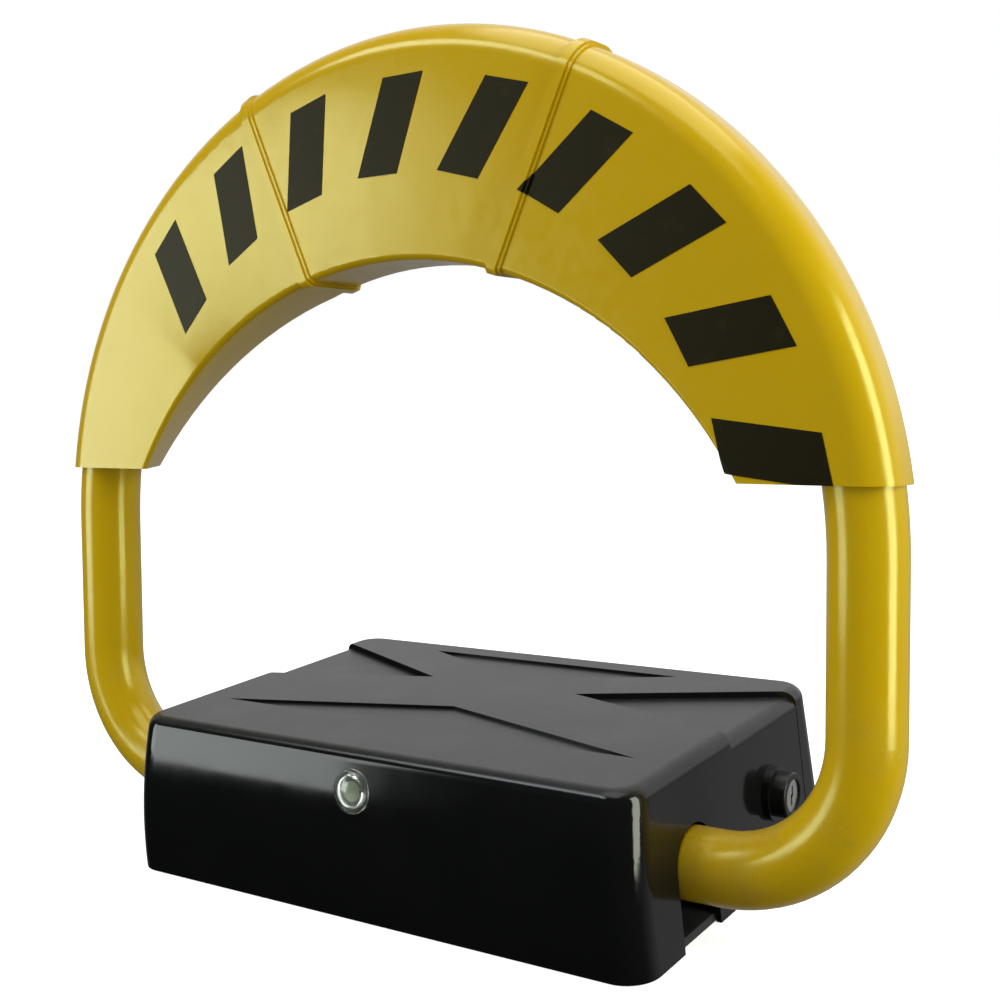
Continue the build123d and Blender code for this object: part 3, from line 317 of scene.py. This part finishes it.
def lens_plastic():
    """Clear acrylic with a faint green tint."""
    s = Shader("lens_plastic")
    s.colour(s.mix(s.noise(120.0), (0.86, 0.92, 0.84), (0.95, 0.98, 0.93)))
    s.rough(s.spread(s.noise(250.0), 0.05, 0.12))
    s.bump((s.noise(120.0, detail=1.0), 20 * MICRON))
    return s.set(Transmission_Weight=0.96, IOR=1.49, Specular_IOR_Level=0.5).material


def satin(name, colour):
    """Satin plastic in one colour and a slightly lighter one."""
    s = Shader(name)
    lighter = tuple(1.25 * part for part in colour)
    s.colour(s.mix(s.noise(260.0), colour, lighter))
    s.rough(s.spread(s.noise(420.0), 0.55, 0.75))
    return s.bump((s.noise(700.0), 10 * MICRON)).material


def reflector_metal():
    s = Shader("reflector_metal")
    s.colour(s.mix(s.noise(200.0), (0.66, 0.70, 0.62), (0.80, 0.83, 0.76)))
    s.rough(s.spread(s.noise(600.0), 0.10, 0.2))
    return s.bump((s.noise(300.0), 20 * MICRON)).set(Metallic=1.0).material


def lock_chrome():
    """Brushed chrome of the key plug."""
    s = Shader("lock_chrome")
    brushed = s.noise(80.0, roughness=0.6, vector=s.stretched((1.0, 1.0, 18.0)))
    s.colour(s.mix(brushed, (0.60, 0.60, 0.56), (0.80, 0.80, 0.77)))
    s.rough(s.spread(brushed, 0.14, 0.32))
    return s.bump((brushed, 20 * MICRON)).set(Metallic=1.0).material


MATERIALS = {
    "yellow_paint": yellow_paint(),
    "black_film": mark_film(),
    "cover_plastic": cover_plastic(),
    "plate_steel": coated_steel(),
    "zinc_screws": zinc(),
    "cast_bearing": cast_iron(),
    "white_nylon": nylon(),
    "gear_steel": turned_steel("gear_steel", (0.46, 0.45, 0.43)),
    "motor_steel": turned_steel("motor_steel", (0.62, 0.62, 0.60)),
    "black_plastic": moulded("black_plastic", (0.004, 0.004, 0.0045), (0.009, 0.009, 0.0095), 0.22, 0.4),
    "brass_tabs": brass(),
    "rubber_pad": rubber(),
    "spring_steel": turned_steel("spring_steel", (0.68, 0.68, 0.66)),
    "battery_case": moulded("battery_case", (0.045, 0.05, 0.06), (0.07, 0.076, 0.088)),
    "grey_box": moulded("grey_box", (0.17, 0.175, 0.18), (0.23, 0.235, 0.24)),
    "green_board": circuit_board(),
    "red_wire": wire_skin(),
    "clear_lens": lens_plastic(),
    "reflector_chrome": reflector_metal(),
    "lock_chrome": lock_chrome(),
}


def paint_frame():
    """Give every CAD node the material of its slot in the record."""
    for row in frame["record"]["subparts"]:
        mesh = nodes[row["node"]].data
        mesh.materials.clear()
        mesh.materials.append(MATERIALS[row["material_slot"]])


# ---------------------------------------------------------------- building pieces
def shade_by_angle(build, degrees):
    """Smooth faces, with every edge that bends by that angle or more left sharp."""
    for face in build.faces:
        face.smooth = True
    for edge in build.edges:
        edge.smooth = len(edge.link_faces) == 2 and edge.calc_face_angle(0.0) < math.radians(degrees)


def add_object(name, build, materials):
    """Put a bmesh into the scene as an object, and free it."""
    mesh = bpy.data.meshes.new(name)
    build.to_mesh(mesh)
    build.free()
    for material in materials:
        mesh.materials.append(material)
    thing = bpy.data.objects.new(name, mesh)
    bpy.context.scene.collection.objects.link(thing)
    return thing


def make_piece(name, build, materials, body):
    piece = add_object(name, build, materials)
    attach(piece, body)
    return piece


# ---------------------------------------------------------------- head shells
# The hoop's own plane has X across, height up along the hoop from the hinge, and depth to the rear.
HOOP_LEAN = math.radians(5.0)
HEAD_HALF_DEPTH = 24.2 * MM          # beads included
HEAD_CUT_HEIGHT = 193.0 * MM         # of the head's lower ends
HEAD_INNER_RADIUS = 226.0 * MM
HEAD_INNER_CENTRE = 84.0 * MM        # height of the inner arc's centre
TAPER_HEIGHT = 102.0 * MM            # how far the taper reaches up from the lower ends
TAPER_SHIFT = 38.0 * MM              # outward, at the rear of the lower ends
TAPER_POWER = 0.7                    # under 1, so that the taper stays nearly full further up
TAPER_LIMIT = 240.0 * MM             # the tube's inner side at the lower ends, where the taper must stop
TAPER_LIMIT_SLOPE = 0.906            # how far that place goes inward for each metre of height
SHELL_WELD = 0.002 * MM
SHELL_CREASE = 32                    # degrees


def taper_shift(across, height):
    """How far the rear edge of the head's inner side moves outward at a point of the hoop's plane."""
    share = 1.0 - (height - HEAD_CUT_HEIGHT) / TAPER_HEIGHT
    if share <= 0.0:
        return 0.0
    reach = HEAD_INNER_RADIUS ** 2 - (height - HEAD_INNER_CENTRE) ** 2
    inner = math.sqrt(max(reach, 0.0))
    limit = TAPER_LIMIT - TAPER_LIMIT_SLOPE * (height - HEAD_CUT_HEIGHT)
    nearness = min(max((limit - across) / (limit - inner), 0.0), 1.0)
    return TAPER_SHIFT * min(share, 1.0) ** TAPER_POWER * nearness


def tapered_shell(node, name):
    """The head's shell, its inner side drawn outward towards the rear at the lower ends, down to the tube."""
    hinge = joints["hoop_fold"]["pos_m"]
    build = bmesh.new()
    build.from_mesh(nodes[node].data)
    bmesh.ops.remove_doubles(build, verts=build.verts, dist=SHELL_WELD)
    for vert in build.verts:
        y = vert.co.y - hinge[1]
        z = vert.co.z - hinge[2]
        depth = y * math.cos(HOOP_LEAN) - z * math.sin(HOOP_LEAN)
        height = y * math.sin(HOOP_LEAN) + z * math.cos(HOOP_LEAN)
        rearward = (depth + HEAD_HALF_DEPTH) / (2 * HEAD_HALF_DEPTH)
        vert.co.x += math.copysign(rearward * taper_shift(abs(vert.co.x), height), vert.co.x)
    shade_by_angle(build, SHELL_CREASE)
    piece = make_piece(name, build, [MATERIALS["yellow_paint"]], "hoop")
    # the CAD mesh's stored normals belong to its old shape
    old_normals = piece.data.attributes.get("custom_normal")
    if old_normals:
        piece.data.attributes.remove(old_normals)
    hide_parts(node)


# ---------------------------------------------------------------- lamp
# The lamp's profiles are (radius, height) in mm, with height 0 on the front wall's outer face.
LAMP_TILT = math.radians(10.25)      # of the front wall at the lamp
LAMP_RADIUS = 12.0 * MM
LAMP_SEAT = 0.8 * MM                 # how deep the lens is let into the wall
LATHE_STEPS = 112
DOME_CENTRE = -12.325                # height of the centre of both spheres of the dome
DOME_OUTER_SPHERE = 17.125
DOME_INNER_SPHERE = 15.7
FACET_STEPS = 4                      # lathe steps to one bump and one dip
DISC_RADIUS = 5.3                    # of the diffuser's pale middle
LENS_CREASE = 24                     # degrees
DIFFUSER_CREASE = 30                 # degrees


def lamp_matrix():
    """The lamp's own frame: local Z points out of the front wall."""
    low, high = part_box("lamp_lens")
    middle = (low + high) / 2
    reach = LAMP_SEAT * math.cos(LAMP_TILT) + LAMP_RADIUS * math.sin(LAMP_TILT)
    place = Matrix.Translation((middle.x, high.y - reach, middle.z))
    return place @ Matrix.Rotation(math.pi / 2 - LAMP_TILT, 4, "X")


def lathe(profile, ripple=None):
    """Turn a profile round local Z. Its first and last point lie on the axis.

    ripple(index, step) is what it adds to the radius of a profile point at a step round the axis.
    """
    build = bmesh.new()
    rings = []
    for index, (radius, height) in enumerate(profile):
        if radius == 0:
            rings.append([build.verts.new((0, 0, height * MM))])
            continue
        ring = []
        for step in range(LATHE_STEPS):
            angle = 2 * math.pi * step / LATHE_STEPS
            bent = radius + (ripple(index, step) if ripple else 0.0)
            x = bent * MM * math.cos(angle)
            y = bent * MM * math.sin(angle)
            ring.append(build.verts.new((x, y, height * MM)))
        rings.append(ring)
    for below, above in zip(rings, rings[1:]):
        for step in range(LATHE_STEPS):
            after = (step + 1) % LATHE_STEPS
            corners = [below[step % len(below)], below[after % len(below)],
                       above[after % len(above)], above[step % len(above)]]
            build.faces.new(list(dict.fromkeys(corners)))
    bmesh.ops.recalc_face_normals(build, faces=build.faces)
    return build


def dome(radii, sphere):
    """Profile points on one of the dome's spheres, at these radii."""
    return [(radius, math.sqrt(sphere ** 2 - radius ** 2) + DOME_CENTRE) for radius in radii]


def make_lens():
    """A clear dome on a flange, with a ring of small facets round the dome's foot."""
    outer = dome((0, 1.5, 3, 4.5, 6, 7.2, 8.2, 9.0), DOME_OUTER_SPHERE)
    foot = [(9.3, 1.9), (10.3, 1.35)]
    flange = [(11.0, 0.75), (11.5, 0.62), (11.85, 0.35), (11.95, -0.1), (11.95, -0.75), (8.0, -0.75)]
    inner = dome((7.9, 7.0, 6.0, 4.5, 3, 1.5, 0), DOME_INNER_SPHERE)
    facet_depths = {len(outer): 0.16, len(outer) + 1: -0.22}

    def facets(index, step):
        side = 1 if step % FACET_STEPS < FACET_STEPS / 2 else -1
        return side * facet_depths.get(index, 0.0)

    build = lathe(outer + foot + flange + inner, facets)
    build.transform(lamp_matrix())
    shade_by_angle(build, LENS_CREASE)
    piece = make_piece("lamp_dome", build, [MATERIALS["clear_lens"]], "base")
    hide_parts("lamp_lens")


def make_diffuser():
    """The stepped disc that shows inside the dome: a dark ring round a pale middle."""
    ring = [(0, -1.15), (7.8, -1.15), (7.8, -0.75), (7.2, -0.55), (6.9, -0.75), (5.6, -0.8)]
    middle = [(DISC_RADIUS, -0.4), (5.0, 0.1), (4.5, 0.45), (3.5, 0.72), (2.0, 0.9), (0, 0.95)]
    build = lathe(ring + middle)
    for face in build.faces:
        radius = face.calc_center_median().xy.length
        face.material_index = 1 if radius < DISC_RADIUS * MM else 0
    build.transform(lamp_matrix())
    shade_by_angle(build, DIFFUSER_CREASE)
    finishes = [satin("diffuser_ring", (0.03, 0.034, 0.027)), satin("diffuser_disc", (0.20, 0.23, 0.16))]
    piece = make_piece("lamp_diffuser", build, finishes, "base")


# ---------------------------------------------------------------- floor, world, lights and camera
FLOOR_HALF = 8.0
FLOOR_GLOW = 0.76
WHITE = (1.0, 1.0, 1.0)
FILL_LIGHT = 0.34
FRONT_ROOM_LIGHT = 0.03
REAR_ROOM_LIGHT = 1.1
ROOM_FRONT_TO_REAR = (-0.1, 0.75)    # Y of the directions between which the room brightens
ROOM_BELOW_TO_ABOVE = (-0.1, 0.12)   # Z of the directions between which the room's lower half ends
BELOW_ROOM_SHARE = 0.32              # how bright the room's lower half is, against its upper half
CAMERA_ANGLES = (34.45, 7.76, -3.27)     # azimuth, downward tilt and roll, in degrees
CAMERA_LENS = 51.75                  # in mm, as Blender gives it
CAMERA_SENSOR = 36.0
CAMERA_NEAR = 0.01
CAMERA_DISTANCE = 0.87
AIM_OFFSET = Vector((0.002, 0.038, -0.031))     # from the middle of the CAD


def floor_material():
    """Pale matte floor that glows a little, so that it stays white round the object."""
    s = Shader("floor")
    s.colour(s.mix(s.noise(3.0), (0.80, 0.80, 0.79), (0.84, 0.84, 0.83)))
    s.rough(s.spread(s.noise(40.0), 0.55, 0.7))
    return s.set(Specular_IOR_Level=0.1, Emission_Color=(*WHITE, 1.0), Emission_Strength=FLOOR_GLOW).material


def make_floor():
    """A floor that the camera sees, and that neither lights the object nor mirrors in it."""
    build = bmesh.new()
    bmesh.ops.create_grid(build, x_segments=8, y_segments=8, size=FLOOR_HALF)
    floor = add_object("floor", build, [floor_material()])
    floor.visible_glossy = False
    floor.visible_diffuse = False


def make_world():
    """A white backdrop for the camera, an even fill for colours, and a room for reflections.

    The room is dark in front of the object and bright behind it, and dimmer in its lower half.
    """
    world = bpy.data.worlds.new("studio")
    world.use_nodes = True
    tree = world.node_tree
    tree.nodes.clear()

    def add(kind, **values):
        node = tree.nodes.new(kind)
        set_inputs(node, values)
        return node

    output = add("ShaderNodeOutputWorld")
    path = add("ShaderNodeLightPath")
    coordinates = add("ShaderNodeTexCoord")
    split = add("ShaderNodeSeparateXYZ")
    backdrop = add("ShaderNodeBackground", Color=(*WHITE, 1.0))
    fill = add("ShaderNodeBackground", Strength=FILL_LIGHT)
    room = add("ShaderNodeBackground")
    front, rear = ROOM_FRONT_TO_REAR
    level = add("ShaderNodeMapRange", From_Min=front, From_Max=rear,
                To_Min=FRONT_ROOM_LIGHT, To_Max=REAR_ROOM_LIGHT)
    level.interpolation_type = "SMOOTHSTEP"
    below, above = ROOM_BELOW_TO_ABOVE
    share = add("ShaderNodeMapRange", From_Min=below, From_Max=above, To_Min=BELOW_ROOM_SHARE)
    strength = add("ShaderNodeMath")
    strength.operation = "MULTIPLY"
    seen = add("ShaderNodeMixShader")
    mirrored = add("ShaderNodeMixShader")
    for source, target in (
        (coordinates.outputs["Generated"], split.inputs["Vector"]),
        (split.outputs["Y"], level.inputs["Value"]),
        (split.outputs["Z"], share.inputs["Value"]),
        (share.outputs["Result"], strength.inputs[0]),
        (level.outputs["Result"], strength.inputs[1]),
        (strength.outputs["Value"], room.inputs["Strength"]),
        (path.outputs["Is Glossy Ray"], mirrored.inputs["Fac"]),
        (fill.outputs["Background"], mirrored.inputs[1]),
        (room.outputs["Background"], mirrored.inputs[2]),
        (path.outputs["Is Camera Ray"], seen.inputs["Fac"]),
        (mirrored.outputs["Shader"], seen.inputs[1]),
        (backdrop.outputs["Background"], seen.inputs[2]),
        (seen.outputs["Shader"], output.inputs["Surface"]),
    ):
        tree.links.new(source, target)
    bpy.context.scene.world = world


def soft_light(name, place, aim, size, watts, tint=WHITE):
    """A rectangular light that the camera doesn't see."""
    data = bpy.data.lights.new(name, "AREA")
    data.shape = "RECTANGLE"
    data.size, data.size_y = size
    data.energy = watts
    data.color = tint
    light = bpy.data.objects.new(name, data)
    bpy.context.scene.collection.objects.link(light)
    light.location = place
    light.rotation_mode = "QUATERNION"
    light.rotation_quaternion = (Vector(aim) - Vector(place)).to_track_quat("-Z", "Y")
    light.visible_camera = False


def make_camera():
    """The camera stands to the right in front of the object, and looks slightly down at it."""
    azimuth, tilt, roll = (math.radians(angle) for angle in CAMERA_ANGLES)
    forward = Vector((-math.sin(azimuth) * math.cos(tilt),
                      math.cos(azimuth) * math.cos(tilt),
                      -math.sin(tilt)))
    right = forward.cross(Vector((0, 0, 1))).normalized()
    up = right.cross(forward)
    turned_right = math.cos(roll) * right + math.sin(roll) * up
    turned_up = math.cos(roll) * up - math.sin(roll) * right
    place = (cad_bounds[0] + cad_bounds[1]) / 2 + AIM_OFFSET - CAMERA_DISTANCE * forward
    data = bpy.data.cameras.new("camera")
    data.lens = CAMERA_LENS
    data.sensor_width = CAMERA_SENSOR
    data.clip_start = CAMERA_NEAR
    camera = bpy.data.objects.new("camera", data)
    bpy.context.scene.collection.objects.link(camera)
    camera.matrix_world = Matrix((
        (turned_right.x, turned_up.x, -forward.x, place.x),
        (turned_right.y, turned_up.y, -forward.y, place.y),
        (turned_right.z, turned_up.z, -forward.z, place.z),
        (0, 0, 0, 1)))
    bpy.context.scene.camera = camera


# ---------------------------------------------------------------- the scene
paint_frame()
tapered_shell("head_front_shell", "head_front_form")
tapered_shell("head_rear_shell", "head_rear_form")
make_lens()
make_diffuser()

bpy.context.scene.view_settings.view_transform = "Standard"
make_floor()
make_world()
soft_light("left_softbox", place=(-2.00, -1.62, 0.55), aim=(-0.1, 0.0, 0.3), size=(1.25, 1.3), watts=25.0,
           tint=(0.92, 1.0, 0.97))
soft_light("front_softbox", place=(-0.95, -1.15, 1.85), aim=(0.0, 0.0, 0.2), size=(1.4, 0.45), watts=12.0,
           tint=(0.92, 0.97, 1.0))
soft_light("right_strip", place=(1.6, -0.05, 0.5), aim=(0.0, 0.0, 0.3), size=(0.6, 1.5), watts=24.0,
           tint=(0.93, 1.0, 0.82))
soft_light("top_light", place=(0.05, 0.0, 2.2), aim=(0.0, 0.0, 0.2), size=(2.2, 1.7), watts=24.0)
make_camera()
